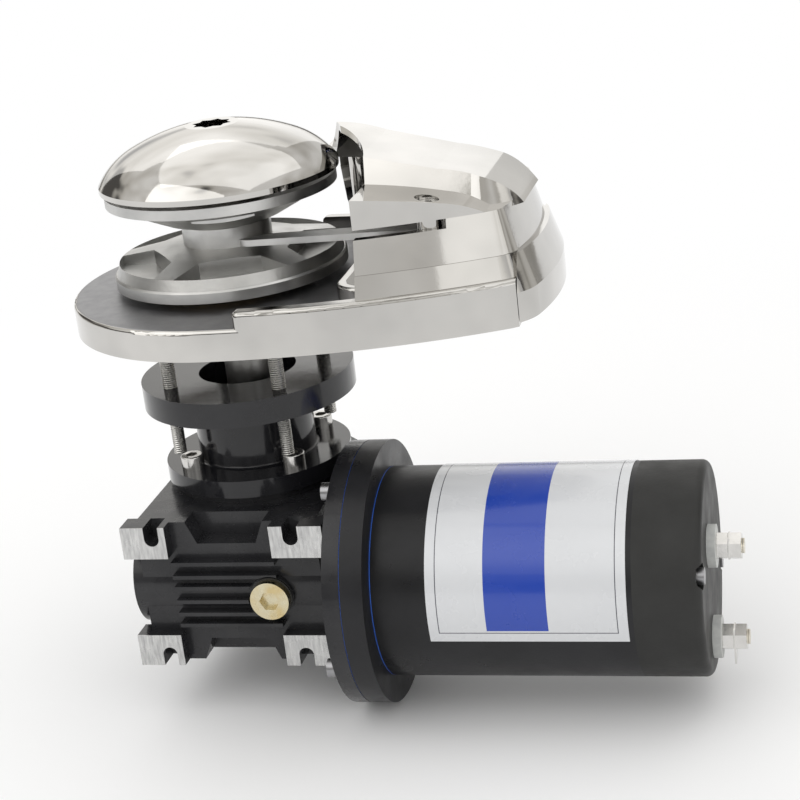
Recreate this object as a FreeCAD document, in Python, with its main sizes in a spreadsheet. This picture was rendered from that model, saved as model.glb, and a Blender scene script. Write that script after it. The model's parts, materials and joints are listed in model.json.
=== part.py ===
import FreeCAD, Part
import Sketcher
import math
import os
import re

Vector = FreeCAD.Vector
Rotation = FreeCAD.Rotation

# ---------------------------------------------------------------------------
# Driving dimensions, in millimetres and degrees.
# Heights are measured from the deck, which is Z = 0; X runs from the open end of the
# base plate to the nose of the cover; the spindle turns about Z.
# ---------------------------------------------------------------------------
SIZES = {
    # deck unit: outline and base plate
    "base_end_radius": 98.0,
    "base_end_centre": 8.0,
    "base_side_radius": 367.0,
    "side_turn": 25.6,
    "corner_radius": 26.0,
    "nose_turn": 77.0,
    "seam_at": 172.0,
    "floor_top": 17.0,
    "rim_top": 25.5,
    "rim_wall": 8.0,
    "rim_start": 29.0,
    "core_depth": 10.0,
    "core_wall": 7.0,
    "edge_round": 2.5,
    "hub_boss_radius": 60.0,
    "boss_radius": 6.5,
    # chain opening in the base plate
    "pipe_near": 78.0,
    "pipe_far": 120.0,
    "pipe_left": -56.0,
    "pipe_right": 20.0,
    "pipe_corner": 12.0,
    "lip_wall": 5.0,
    "lip_top": 25.0,
    # cover body and lid
    "cover_inset": 4.0,
    "cover_wall": 5.0,
    "crease_top": 37.0,
    "low_lean": 20.0,
    "crease_inset": 9.0,
    "high_lean": 15.0,
    "band_inset": 14.5,
    "dip_top": 54.5,
    "dip_end": 139.0,
    "nose_turn_in": 18.0,
    "nose_lean": 18.0,
    "nose_clear": 2.0,
    "lid_bottom": 59.5,
    "lid_thickness": 4.0,
    "plateau_left": 64.0,
    "plateau_right": 38.0,
    "plateau_nose": 178.0,
    "plateau_corner": 30.0,
    "plateau_lean": 30.0,
    "plateau_foot": 57.0,
    "body_left_near": 93.0,
    "body_left_far": 48.0,
    "arch_radius": 70.0,
    "arch_turn": 20.0,
    "arch_start": -38.0,
    "arch_sweep": 120.0,
    "cover_screw_radius": 3.0,
    "cover_screw_grip": 16.0,
    "cover_head_radius": 6.3,
    "cover_head_sink": 6.0,
    "cover_head_height": 4.5,
    "cover_hex_radius": 2.9,
    "fit_gap": 0.3,
    "seat_gap": 0.05,
    # chain stripper
    "stripper_low": 45.5,
    "stripper_thick": 3.5,
    "stripper_half": 7.0,
    "stripper_tip": 20.0,
    # spindle
    "shaft_radius": 12.5,
    "bush_radius": 17.5,
    "running_gap": 0.05,
    "shaft_bottom": -190.0,
    "collar_low": 17.6,
    "collar_high": 19.5,
    "thread_low": 74.0,
    "shaft_top": 94.0,
    "key_width": 8.0,
    "key_height": 7.0,
    "low_key_top": 25.5,
    "high_key_low": 61.5,
    "high_key_top": 74.0,
    "wheel_key_low": -175.0,
    "wheel_key_high": -109.0,
    # chainwheel and clutch
    "wheel_bottom": 21.5,
    "wheel_rim_radius": 65.5,
    "wheel_rim_height": 6.5,
    "hub_radius": 25.0,
    "hub_high": 51.0,
    "upper_lip_radius": 53.0,
    "upper_rim_radius": 64.7,
    "upper_rim_low": 67.5,
    "upper_rim_high": 73.0,
    "pocket_count": 5.0,
    "pocket_inner": 39.0,
    "pocket_outer": 62.0,
    "pocket_half": 17.0,
    "pocket_sweep": 30.0,
    "rib_outer": 63.0,
    "rib_top": 34.0,
    "pocket_floor": 29.0,
    "pocket_roof": 64.0,
    "cone_large": 44.0,
    "cone_small": 38.0,
    "cone_low_small": 40.0,
    "cone_low_top": 26.0,
    "cone_high_floor": 61.0,
    "cap_radius": 66.8,
    "cap_bottom": 75.5,
    "cap_rim": 3.0,
    "cap_top": 105.0,
    "cap_shoulder": 48.0,
    "cap_shoulder_height": 95.0,
    "cap_neck": 15.0,
    "cap_boss": 24.0,
    "star_radius": 10.0,
    "star_depth": 8.0,
    # coupling under the deck
    "stud_radius": 4.0,
    "stud_thread": 3.6,
    "stud_circle": 47.0,
    "stud_turn": -51.0,
    "stud_bottom": -76.5,
    "stud_grip": 12.0,
    "disc_top": -37.0,
    "disc_bottom": -51.5,
    "disc_radius": 61.0,
    "neck_radius": 34.0,
    "neck_bore": 28.0,
    "flange_top": -86.0,
    "flange_bottom": -96.0,
    "flange_radius": 53.5,
    "screw_circle": 42.5,
    "screw_radius": 4.0,
    "screw_reach": 12.0,
    "head_radius": 6.5,
    "head_height": 8.0,
    "socket_across": 6.0,
    # gearbox
    "gear_axis_drop": 142.0,
    "output_face": 46.0,
    "front_cover": 34.0,
    "back_face": 60.0,
    "box_half": 58.0,
    "pad_half_height": 42.0,
    "pad_low": 23.4,
    "slot_half_span": 40.0,
    "slot_end": 35.25,
    "slot_radius": 4.25,
    "window_wide": 30.0,
    "window_narrow": 17.0,
    "boss_ring": 50.0,
    "worm_boss": 27.5,
    "cover_seat": 46.0,
    "chamber_half": 14.0,
    "bearing_outer": 27.5,
    "bearing_high": 28.0,
    "seal_outer": 26.0,
    "hub_wall": 5.0,
    "rim_seat": 30.0,
    "worm_bearing_outer": 17.5,
    "worm_journal": 8.5,
    "worm_root": 9.5,
    "worm_half": 27.0,
    "worm_pitch": 7.854,
    "worm_pitch_radius": 12.5,
    "thread_thick": 3.0,
    "worm_end": 50.0,
    "wheel_pitch_radius": 37.5,
    "gear_module": 2.5,
    "gear_teeth": 30.0,
    "gear_width": 22.0,
    "slot_width": 4.2,
    "slot_depth": 3.2,
    "fin_thick": 2.2,
    "plug_boss": 12.5,
    "plug_radius": 6.5,
    "plug_at": 23.4,
    "plug_drop": 2.0,
    # motor
    "flange_a_at": 65.4,
    "flange_b_at": 75.1,
    "motor_face": 87.8,
    "input_radius": 72.8,
    "motor_radius": 57.9,
    "motor_wall": 5.0,
    "motor_bearing_outer": 16.0,
    "cap_joint": 226.0,
    "through_radius": 2.5,
    "motor_end": 261.8,
    "armature_radius": 6.0,
    "magnet_depth": 8.9,
    "label_start": 117.5,
    "label_end": 223.2,
    "label_low": -15.5,
    "label_high": 150.0,
    "label_thick": 0.25,
    "terminal_side": 13.0,
    "terminal_up": 18.5,
    "terminal_down": 34.5,
    "terminal_radius": 4.0,
}

# sizes that follow from others
DERIVED = {
    "worm_offset": "wheel_pitch_radius+worm_pitch_radius",
    "front_face": "worm_offset+front_cover",
    "hub_outer": "shaft_radius+hub_wall",
    "armature_core": "motor_radius-motor_wall-magnet_depth",
    "through_circle": "motor_radius-motor_wall-through_radius-0.5",
}

doc = FreeCAD.newDocument("windlass")
sheet = doc.addObject("Spreadsheet::Sheet", "Sizes")
for row, (name, number) in enumerate([*SIZES.items(), *DERIVED.items()], start=1):
    sheet.set("A%d" % row, name)
    sheet.set("B%d" % row, "=" + number if name in DERIVED else repr(number))
    sheet.setAlias("B%d" % row, name)
doc.recompute()

SIZE_WORD = re.compile(r"\b(" + "|".join(sorted([*SIZES, *DERIVED], key=len, reverse=True)) + r")\b")
XY = "XY_Plane"
XZ = "XZ_Plane"
YZ = "YZ_Plane"


# ---------------------------------------------------------------------------
# Helpers: every one takes its sizes as expressions on the sheet.
# ---------------------------------------------------------------------------
def link(expression):
    """The expression with each size name pointing at the sheet."""
    return SIZE_WORD.sub(r"Sizes.\1", str(expression))


def size(expression):
    """The present value of an expression, as a plain number."""
    return float(sheet.evalExpression(link(expression)))


def new_body(name):
    body = doc.addObject("PartDesign::Body", name)
    body.Label = name
    body.AllowCompound = True
    return body


def origin_feature(body, role):
    return next(item for item in body.Origin.OriginFeatures if item.Role == role)


def new_sketch(body, role=XY, offset="0"):
    sketch = body.newObject("Sketcher::SketchObject", body.Name + "_sketch")
    sketch.AttachmentSupport = [(origin_feature(body, role), "")]
    sketch.MapMode = "FlatFace"
    sketch.setExpression("AttachmentOffset.Base.z", link(offset))
    return sketch


def pin(sketch, edge, end, x, y):
    """Hold one point of an edge at two coordinates of the sheet."""
    for kind, expression in (("DistanceX", x), ("DistanceY", y)):
        index = sketch.addConstraint(Sketcher.Constraint(kind, -1, 1, edge, end, size(expression)))
        sketch.setExpression("Constraints[%d]" % index, link(expression))


def arc_between(start, end, radius):
    """The minor arc from start to end, turning left for a positive radius."""
    chord = end - start
    reach = math.sqrt(max(radius * radius - chord.Length ** 2 / 4, 0))
    normal = Vector(-chord.y, chord.x, 0).normalize()
    centre = (start + end) * 0.5 + normal * math.copysign(reach, radius)
    first, last = (start, end) if radius > 0 else (end, start)
    angles = [math.atan2(point.y - centre.y, point.x - centre.x) for point in (first, last)]
    if angles[1] < angles[0]:
        angles[1] += 2 * math.pi
    circle = Part.Circle(centre, Vector(0, 0, 1), abs(radius))
    return Part.ArcOfCircle(circle, angles[0], angles[1])


def hold_middle(sketch, edge, before, after, chord):
    """Keep the centre of a half circle midway between its ends."""
    axis, kind = (0, "DistanceX") if abs(chord.y) > abs(chord.x) else (1, "DistanceY")
    middle = "((%s)+(%s))/2" % (before[axis], after[axis])
    row = sketch.addConstraint(Sketcher.Constraint(kind, -1, 1, edge, 3, size(middle)))
    sketch.setExpression("Constraints[%d]" % row, link(middle))


def outline(sketch, corners):
    """A closed outline. A corner is (x, y), or (x, y, radius) where an arc arrives there."""
    points = [Vector(size(corner[0]), size(corner[1]), 0) for corner in corners]
    edges = []
    for index, corner in enumerate(corners):
        start, end = points[index - 1], points[index]
        if len(corner) == 2:
            edges.append((sketch.addGeometry(Part.LineSegment(start, end)), 1, 2))
            continue
        radius = size(corner[2])
        edge = sketch.addGeometry(arc_between(start, end, radius))
        edges.append((edge, 1, 2) if radius > 0 else (edge, 2, 1))
        if (end - start).Length > 1.999 * abs(radius):
            hold_middle(sketch, edge, corners[index - 1], corner, end - start)
            continue
        row = sketch.addConstraint(Sketcher.Constraint("Radius", edge, abs(radius)))
        sketch.setExpression("Constraints[%d]" % row, link("abs(%s)" % corner[2]))
    for index, corner in enumerate(corners):
        edge, _, end = edges[index]
        after, start, _ = edges[(index + 1) % len(edges)]
        sketch.addConstraint(Sketcher.Constraint("Coincident", edge, end, after, start))
        pin(sketch, edge, end, corner[0], corner[1])


def circle(sketch, radius, x="0", y="0"):
    shape = Part.Circle(Vector(size(x), size(y), 0), Vector(0, 0, 1), size(radius))
    edge = sketch.addGeometry(shape)
    pin(sketch, edge, 3, x, y)
    row = sketch.addConstraint(Sketcher.Constraint("Radius", edge, size(radius)))
    sketch.setExpression("Constraints[%d]" % row, link(radius))


def polar(radius, angle):
    """The x and y expressions of a point on a circle."""
    return "(%s)*cos(%s)" % (radius, angle), "(%s)*sin(%s)" % (radius, angle)


def polygon(sketch, sides, radius, x="0", y="0", turn="0"):
    corners = []
    for index in range(sides):
        across, up = polar(radius, "(%s)+%g" % (turn, 360.0 / sides * index))
        corners.append(("(%s)+%s" % (x, across), "(%s)+%s" % (y, up)))
    outline(sketch, corners)


def feature(body, kind, sketch, **numbers):
    """One PartDesign feature on a sketch; numbers are expressions or plain flags."""
    item = body.newObject("PartDesign::" + kind, body.Name + "_" + kind.lower())
    item.Profile = sketch
    for key, setting in numbers.items():
        if isinstance(setting, str) and key not in ("Type", "SideType"):
            item.setExpression(key, link(setting))
        else:
            setattr(item, key, setting)
    sketch.Visibility = False
    body.Tip = item
    return item


def pad(body, sketch, length, **numbers):
    return feature(body, "Pad", sketch, Length=length, **numbers)


def pocket(body, sketch, length, up=True, **numbers):
    """Cut from the sketch plane, along its normal when up is true."""
    return feature(body, "Pocket", sketch, Length=length, Reversed=up, **numbers)


def turned(body, kind, sketch, axis="V_Axis"):
    item = feature(body, kind, sketch)
    item.ReferenceAxis = (sketch, [axis])
    return item


def revolve(body, corners, role=XZ):
    """A turned piece from its half section in (radius, height)."""
    sketch = new_sketch(body, role)
    outline(sketch, corners)
    return turned(body, "Revolution", sketch)


def ring(body, outer, inner, low, high):
    """A plain ring or, with inner None, a plain round bar."""
    sketch = new_sketch(body, XY, low)
    circle(sketch, outer)
    if inner is not None:
        circle(sketch, inner)
    return pad(body, sketch, "(%s)-(%s)" % (high, low))


def repeat(body, originals, count, axis="Z_Axis"):
    pattern = body.newObject("PartDesign::PolarPattern", body.Name + "_pattern")
    pattern.Originals = originals
    pattern.Axis = (origin_feature(body, axis), [""])
    pattern.Angle = 360
    if isinstance(count, str):
        pattern.setExpression("Occurrences", link(count))
    else:
        pattern.Occurrences = count
    body.Tip = pattern
    return pattern


def dress(body, kind, radius, choose):
    """A Fillet or Chamfer on the edges of the tip that the test picks."""
    doc.recompute()
    base = body.Tip
    picked = ["Edge%d" % (index + 1) for index, edge in enumerate(base.Shape.Edges) if choose(edge)]
    item = body.newObject("PartDesign::" + kind, body.Name + "_" + kind.lower())
    item.Base = (base, picked)
    item.setExpression("Radius" if kind == "Fillet" else "Size", link(radius))
    body.Tip = item
    return item


def at_height(expression):
    """Picks edges that lie wholly at one height."""
    height = size(expression)
    return lambda edge: abs(edge.BoundBox.ZMin - height) < 0.01 and abs(edge.BoundBox.ZMax - height) < 0.01


def lay_along_motor(body, x="0"):
    """Turn a piece that was built round Z so that it lies on the worm and motor axis."""
    body.Placement = FreeCAD.Placement(Vector(0, 0, 0), Rotation(Vector(0, 1, 0), 90))
    body.setExpression("Placement.Base.x", link(x))
    body.setExpression("Placement.Base.y", link("-worm_offset"))
    body.setExpression("Placement.Base.z", link("-gear_axis_drop"))



def fuse(name, kind, *pieces):
    """A Part boolean of two or more objects."""
    if kind == "Cut":
        item = doc.addObject("Part::Cut", name)
        item.Base, item.Tool = pieces
    else:
        item = doc.addObject("Part::Multi" + kind, name)
        item.Shapes = list(pieces)
    item.Label = name
    return item


def plan(inset="0"):
    """The outline of the deck unit seen from above, drawn in by an inset."""
    centre = "base_end_centre"
    lift = "(base_side_radius-base_end_radius)"
    side = "(base_side_radius-(%s))" % inset
    corner = "(base_side_radius-corner_radius)"
    tight = "(corner_radius-(%s))" % inset
    corner_x = "%s+%s*sin(side_turn)" % (centre, corner)
    corner_y = "(%s*cos(side_turn)-%s)" % (corner, lift)
    nose = "((%s+corner_radius*cos(nose_turn))/cos(nose_turn)-(%s))" % (corner_y, inset)
    end = "base_end_radius-(%s)" % inset
    shoulder = ("%s+%s*sin(side_turn)" % (centre, side), "(%s*cos(side_turn)-%s)" % (side, lift))
    bend = (
        "%s+%s*sin(nose_turn)" % (corner_x, tight),
        "(%s+%s*cos(nose_turn))" % (corner_y, tight),
    )
    return [
        ("%s-(%s)" % (centre, end), "0", end),
        (centre, "-(%s)" % end, end),
        (shoulder[0], "-" + shoulder[1], side),
        (bend[0], "-" + bend[1], tight),
        (bend[0], bend[1], nose),
        (shoulder[0], shoulder[1], tight),
        (centre, end, side),
    ]


def side_at(x):
    """How far the side of the deck unit is from its middle line at one X."""
    reach = "sqrt(base_side_radius^2-((%s)-base_end_centre)^2)" % x
    return "(%s-(base_side_radius-base_end_radius))" % reach


def rim_plan():
    """The outline of the raised rim, which starts with rounded ends part way along."""
    begin, corner = "rim_start", "(rim_wall/2)"
    along = "(%s+%s)" % (begin, corner)
    end = plan()
    return [
        (begin, "-(%s-%s)" % (side_at(begin), corner)),
        (along, "-" + side_at(along), corner + "*1.02"),
        end[2],
        end[3],
        end[4],
        end[5],
        (along, side_at(along), "base_side_radius"),
        (begin, "(%s-%s)" % (side_at(begin), corner), corner + "*1.02"),
    ]


def box_outline(left, right, low, high):
    return [(left, low), (right, low), (right, high), (left, high)]


def rounded_box(left, right, low, high, radius):
    """A rectangle with round corners, as outline corners."""
    return [
        ("%s+%s" % (left, radius), low, radius),
        ("%s-%s" % (right, radius), low),
        (right, "%s+%s" % (low, radius), radius),
        (right, "%s-%s" % (high, radius)),
        ("%s-%s" % (right, radius), high, radius),
        ("%s+%s" % (left, radius), high),
        (left, "%s-%s" % (high, radius), radius),
        (left, "%s+%s" % (low, radius)),
    ]


# ---------------------------------------------------------------------------
# Deck unit
# ---------------------------------------------------------------------------
LID_SCREWS = [("129", "-53"), ("64", "62")]
STRIPPER_SCREW = ("137", "-29")
FAR = "400"


def build_base_plate():
    body = new_body("base_plate")
    sketch = new_sketch(body)
    outline(sketch, plan())
    pad(body, sketch, "floor_top")
    dress(body, "Fillet", "edge_round", at_height("floor_top"))
    sketch = new_sketch(body)
    outline(sketch, rim_plan())
    pad(body, sketch, "rim_top")
    dress(body, "Fillet", "edge_round", at_height("rim_top"))
    sketch = new_sketch(body, XY, "floor_top")
    outline(sketch, plan("rim_wall"))
    pocket(body, sketch, "rim_top")
    sketch = new_sketch(body)
    outline(sketch, box_outline("seam_at", FAR, "-" + FAR, FAR))
    pocket(body, sketch, FAR)
    sketch = new_sketch(body)
    outline(
        sketch,
        rounded_box(
            "(pipe_near-lip_wall)",
            "(pipe_far+lip_wall)",
            "(pipe_left-lip_wall)",
            "(pipe_right+lip_wall)",
            "(pipe_corner+lip_wall)",
        ),
    )
    pad(body, sketch, "lip_top")
    dress(body, "Fillet", "lip_wall/3", at_height("lip_top"))
    for x, y in LID_SCREWS:
        sketch = new_sketch(body, XY, "floor_top")
        circle(sketch, "boss_radius", x, y)
        pad(body, sketch, "lid_bottom-floor_top")
    sketch = new_sketch(body, XY, "floor_top")
    circle(sketch, "boss_radius", *STRIPPER_SCREW)
    pad(body, sketch, "stripper_low-floor_top")
    sketch = new_sketch(body)
    outline(sketch, rounded_box("pipe_near", "pipe_far", "pipe_left", "pipe_right", "pipe_corner"))
    pocket(body, sketch, FAR)
    # hollow underside round the hub boss
    sketch = new_sketch(body)
    circle(sketch, "base_end_radius-core_wall", "base_end_centre")
    circle(sketch, "hub_boss_radius")
    pocket(body, sketch, "core_depth")
    sketch = new_sketch(body)
    circle(sketch, "bush_radius")
    pocket(body, sketch, FAR)
    sketch = new_sketch(body)
    for index in range(4):
        x, y = polar("stud_circle", "stud_turn+%d" % (90 * index))
        circle(sketch, "stud_thread+seat_gap", x, y)
    pocket(body, sketch, "stud_grip")
    sketch = new_sketch(body, XY, "lid_bottom")
    for x, y in LID_SCREWS:
        circle(sketch, "cover_screw_radius", x, y)
    pocket(body, sketch, "cover_screw_grip", up=False)
    sketch = new_sketch(body, XY, "stripper_low")
    circle(sketch, "cover_screw_radius", *STRIPPER_SCREW)
    pocket(body, sketch, "cover_screw_grip", up=False)
    return body


# side views of the cover, as heights over X: the ledge on each side and the raised middle
LEDGE = [("0", "78"), ("94", "75"), ("136", "68", "-400"), ("158", "59.5", "-60"), ("400", "59.5")]
CREST = [
    ("0", "95"),
    ("61", "94"),
    ("90", "88.5", "-80"),
    ("130", "79"),
    ("152", "73.5", "-100"),
    ("178", "48", "-40"),
    ("200", "-20"),
    ("400", "-20"),
]


def cut_above(body, profile, drop):
    """Cut away everything over a side view, lowered by a drop."""
    sketch = new_sketch(body, XZ)
    lowered = [(point[0], "(%s)-(%s)" % (point[1], drop)) + point[2:] for point in profile]
    outline(sketch, lowered + [("400", "300"), ("0", "300")])
    pocket(body, sketch, "800", Midplane=True)


def raised_plan(inset):
    """The outline of the cover's raised middle, drawn in by an inset."""
    left, right = "(plateau_left-(%s))" % inset, "(plateau_right-(%s))" % inset
    front = "(plateau_nose-(%s))" % inset
    bend = "(plateau_corner-(%s))" % inset
    return [
        ("20", "-" + left),
        ("%s-%s" % (front, bend), "-" + right),
        (front, "-(%s-%s)" % (right, bend), bend),
        (front, "%s-%s" % (right, bend)),
        ("%s-%s" % (front, bend), right, bend),
        ("20", left),
    ]


def leaning(body, outline_at, low, high, inset, lean):
    """A solid between two heights whose sides lean in by an angle."""
    bottom = new_sketch(body, XY, low)
    outline(bottom, outline_at(inset))
    top = new_sketch(body, XY, high)
    outline(top, outline_at("(%s)+((%s)-(%s))*tan(%s)" % (inset, high, low, lean)))
    item = feature(body, "AdditiveLoft", bottom, Ruled=True)
    item.Sections = [top]
    top.Visibility = False
    return item


def cover_form(name, inset, drop):
    """The solid form of the closed cover: leaning skirt, side ledges and raised middle."""
    body = new_body(name)
    for low, high, start, lean in (
        ("rim_top", "crease_top", "cover_inset", "low_lean"),
        ("crease_top", "lid_bottom+2", "crease_inset", "high_lean"),
        ("lid_bottom", "100", "band_inset", "2"),
    ):
        leaning(body, plan, low, high, "%s+(%s)" % (start, inset), lean)
    cut_above(body, LEDGE, drop)
    leaning(body, raised_plan, "plateau_foot", "97", inset, "plateau_lean")
    cut_above(body, CREST, drop)
    return body


def round_bar(name, radius, x, y, low, high):
    """A plain cylinder for use as a boss or a cutting tool."""
    item = doc.addObject("Part::Cylinder", name)
    item.setExpression("Radius", link(radius))
    item.setExpression("Height", link("(%s)-(%s)" % (high, low)))
    item.setExpression("Placement.Base.x", link(x))
    item.setExpression("Placement.Base.y", link(y))
    item.setExpression("Placement.Base.z", link(low))
    return item


def block(name, low, high):
    """A slab across the whole plan between two heights."""
    item = doc.addObject("Part::Box", name)
    item.setExpression("Length", link("2*%s" % FAR))
    item.setExpression("Width", link("2*%s" % FAR))
    item.setExpression("Height", link("(%s)-(%s)" % (high, low)))
    item.setExpression("Placement.Base.x", link("-" + FAR))
    item.setExpression("Placement.Base.y", link("-" + FAR))
    item.setExpression("Placement.Base.z", link(low))
    return item


def build_arch(name):
    """What is cut away on the chainwheel side of the cover."""
    body = new_body(name)
    sketch = new_sketch(body)
    turn_x, turn_y = polar("arch_radius", "arch_turn")
    outline(
        sketch,
        [
            ("-" + FAR, "-" + FAR),
            ("body_left_near", "-" + FAR),
            ("body_left_near", "arch_start"),
            (turn_x, turn_y, "arch_sweep"),
            ("body_left_far", "sqrt(arch_radius^2-body_left_far^2)", "arch_radius"),
            ("body_left_far", FAR),
            ("-" + FAR, FAR),
        ],
    )
    pad(body, sketch, FAR)
    return body


def build_nose():
    """The front of the cover body, which comes down past the end of the base plate."""
    nose = new_body("cover_nose")
    sketch = new_sketch(nose, XY, "nose_clear")
    outline(sketch, plan())
    pad(nose, sketch, "nose_turn_in-nose_clear")
    leaning(nose, plan, "nose_turn_in", "crease_top", "0", "nose_lean")
    for low, high, inset in (
        ("nose_clear", "rim_top+1", "cover_wall+cover_inset"),
        ("rim_top", "crease_top", "cover_wall+crease_inset"),
    ):
        sketch = new_sketch(nose, XY, low)
        outline(sketch, plan(inset))
        pocket(nose, sketch, "(%s)-(%s)+1" % (high, low))
    sketch = new_sketch(nose)
    outline(sketch, box_outline("-" + FAR, "seam_at+fit_gap", "-" + FAR, FAR))
    pocket(nose, sketch, FAR)
    return nose


def build_cover():
    outer = cover_form("cover_outside", "0", "0")
    inner = cover_form("cover_inside", "cover_wall", "lid_thickness")
    shell = fuse("cover_shell", "Cut", outer, inner)
    bosses = [
        round_bar("lid_boss_%d" % index, "boss_radius", x, y, "lid_bottom", "120")
        for index, (x, y) in enumerate(LID_SCREWS)
    ]
    boss_set = fuse("lid_bosses", "Fuse", *bosses)
    boss_form = fuse("lid_boss_form", "Common", boss_set, outer)
    whole = fuse("cover_whole", "Fuse", shell, boss_form)
    opened = fuse("cover_opened", "Cut", whole, build_arch("cover_arch"))
    screws = [
        round_bar("screw_way_%d" % index, "cover_screw_radius+fit_gap", x, y, "lid_bottom", "120")
        for index, (x, y) in enumerate(LID_SCREWS)
    ]
    heads = [
        round_bar("head_way_%d" % index, "cover_head_radius", x, y, "%s-cover_head_sink" % top, "120")
        for index, ((x, y), top) in enumerate(zip(LID_SCREWS, LID_TOPS))
    ]
    ways = fuse("screw_ways", "Fuse", *screws, *heads)
    drilled = fuse("cover_drilled", "Cut", opened, ways)
    fuse("cover_lid", "Common", drilled, block("lid_zone", "lid_bottom", "150"))
    skirt = fuse("cover_skirt", "Common", opened, block("body_zone", "rim_top", "lid_bottom"))
    slit = new_body("stripper_slit")
    sketch = new_sketch(slit, XY, "dip_top")
    outline(sketch, box_outline("0", "dip_end", "-" + FAR, "-30"))
    pad(slit, sketch, "20")
    dipped = fuse("cover_dipped", "Cut", skirt, slit)
    reliefs = [
        round_bar("boss_relief_%d" % index, "boss_radius+fit_gap", x, y, "floor_top", "lid_bottom")
        for index, (x, y) in enumerate(LID_SCREWS)
    ]
    cleared = fuse("cover_cleared", "Cut", dipped, fuse("boss_reliefs", "Fuse", *reliefs))
    fuse("cover_body", "Fuse", cleared, build_nose())


def build_cover_screws():
    body = new_body("cover_screws")
    for (x, y), top in zip(LID_SCREWS, LID_TOPS):
        sketch = new_sketch(body, XY, "lid_bottom-cover_screw_grip")
        circle(sketch, "cover_screw_radius", x, y)
        pad(body, sketch, "%s-cover_head_sink-lid_bottom+cover_screw_grip" % top)
        sketch = new_sketch(body, XY, "%s-cover_head_sink" % top)
        circle(sketch, "cover_head_radius-fit_gap", x, y)
        pad(body, sketch, "cover_head_height")
        sketch = new_sketch(body, XY, "%s-cover_head_sink+1.5" % top)
        polygon(sketch, 6, "cover_hex_radius", x, y)
        pocket(body, sketch, "10")


LID_TOPS = ["69", "77"]


def build_stripper():
    body = new_body("chain_stripper")
    sketch = new_sketch(body, XY, "stripper_low")
    x, y = STRIPPER_SCREW
    outline(
        sketch,
        [
            ("stripper_tip", "-39"),
            ("stripper_tip+8", "-42", "8"),
            (x, "(%s)-stripper_half" % y),
            (x, "(%s)+stripper_half" % y, "stripper_half"),
            ("stripper_tip+14", "-30"),
        ],
    )
    pad(body, sketch, "stripper_thick")
    sketch = new_sketch(body, XY, "stripper_low")
    circle(sketch, "cover_screw_radius+fit_gap", x, y)
    pocket(body, sketch, "10")
    screw = new_body("stripper_screw")
    sketch = new_sketch(screw, XY, "stripper_low-cover_screw_grip")
    circle(sketch, "cover_screw_radius", x, y)
    pad(screw, sketch, "cover_screw_grip+stripper_thick")
    sketch = new_sketch(screw, XY, "stripper_low+stripper_thick")
    circle(sketch, "cover_head_radius", x, y)
    pad(screw, sketch, "3.5")
    sketch = new_sketch(screw, XY, "stripper_low+stripper_thick+1")
    polygon(sketch, 6, "cover_hex_radius", x, y)
    pocket(screw, sketch, "10")


def build_bush():
    ring(new_body("shaft_bush"), "bush_radius", "shaft_radius+running_gap", "0", "floor_top-4")
    seal = new_body("shaft_seal")
    ring(seal, "bush_radius", "shaft_radius+running_gap", "floor_top-4", "floor_top")


# ---------------------------------------------------------------------------
# Spindle, chainwheel and clutch
# ---------------------------------------------------------------------------
SHAFT_KEYS = (
    ("collar_high", "low_key_top"),
    ("high_key_low", "high_key_top"),
    ("wheel_key_low", "wheel_key_high"),
)


def build_shaft():
    body = new_body("main_shaft")
    radius, collar = "shaft_radius", "shaft_radius+3.5"
    revolve(
        body,
        [
            ("0", "shaft_bottom"),
            ("%s-1" % radius, "shaft_bottom"),
            (radius, "shaft_bottom+1"),
            (radius, "collar_low"),
            (collar, "collar_low"),
            (collar, "collar_high"),
            (radius, "collar_high"),
            (radius, "thread_low"),
            ("%s-1.2" % radius, "thread_low"),
            ("%s-1.2" % radius, "shaft_top-1"),
            ("%s-2.2" % radius, "shaft_top"),
            ("0", "shaft_top"),
        ],
    )
    for low, high in SHAFT_KEYS:
        sketch = new_sketch(body, XY, low)
        outline(sketch, box_outline("shaft_radius-4", "30", "-key_width/2", "key_width/2"))
        pocket(body, sketch, "(%s)-(%s)" % (high, low))
    keys = new_body("shaft_keys")
    for low, high in SHAFT_KEYS:
        sketch = new_sketch(keys, XY, low)
        outline(
            sketch,
            box_outline("shaft_radius-4", "shaft_radius-4+key_height", "-key_width/2", "key_width/2"),
        )
        pad(keys, sketch, "(%s)-(%s)" % (high, low))


def cut_keyway(body, low, high, gap="0"):
    sketch = new_sketch(body, XY, low)
    width = "(key_width/2+(%s))" % gap
    outline(sketch, box_outline("0", "shaft_radius-4+key_height+0.2", "-" + width, width))
    pocket(body, sketch, "(%s)-(%s)" % (high, low))


def build_clutch():
    lower = new_body("lower_clutch_cone")
    gap = "fit_gap"
    revolve(
        lower,
        [
            ("shaft_radius", "collar_high"),
            ("cone_large-%s" % gap, "collar_high"),
            ("cone_large-%s" % gap, "wheel_bottom"),
            ("cone_low_small-%s" % gap, "cone_low_top-%s" % gap),
            ("shaft_radius", "cone_low_top-%s" % gap),
        ],
    )
    cut_keyway(lower, "collar_high", "cone_low_top")
    upper = new_body("upper_clutch_cone")
    revolve(
        upper,
        [
            ("shaft_radius+running_gap", "cone_high_floor+%s" % gap),
            ("cone_small-%s" % gap, "cone_high_floor+%s" % gap),
            ("cone_large-%s" % gap, "upper_rim_high"),
            ("cone_large-%s" % gap, "upper_rim_high+1"),
            ("shaft_radius+running_gap", "upper_rim_high+1"),
        ],
    )
    cut_keyway(upper, "cone_high_floor", "upper_rim_high+1", "running_gap")


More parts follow.
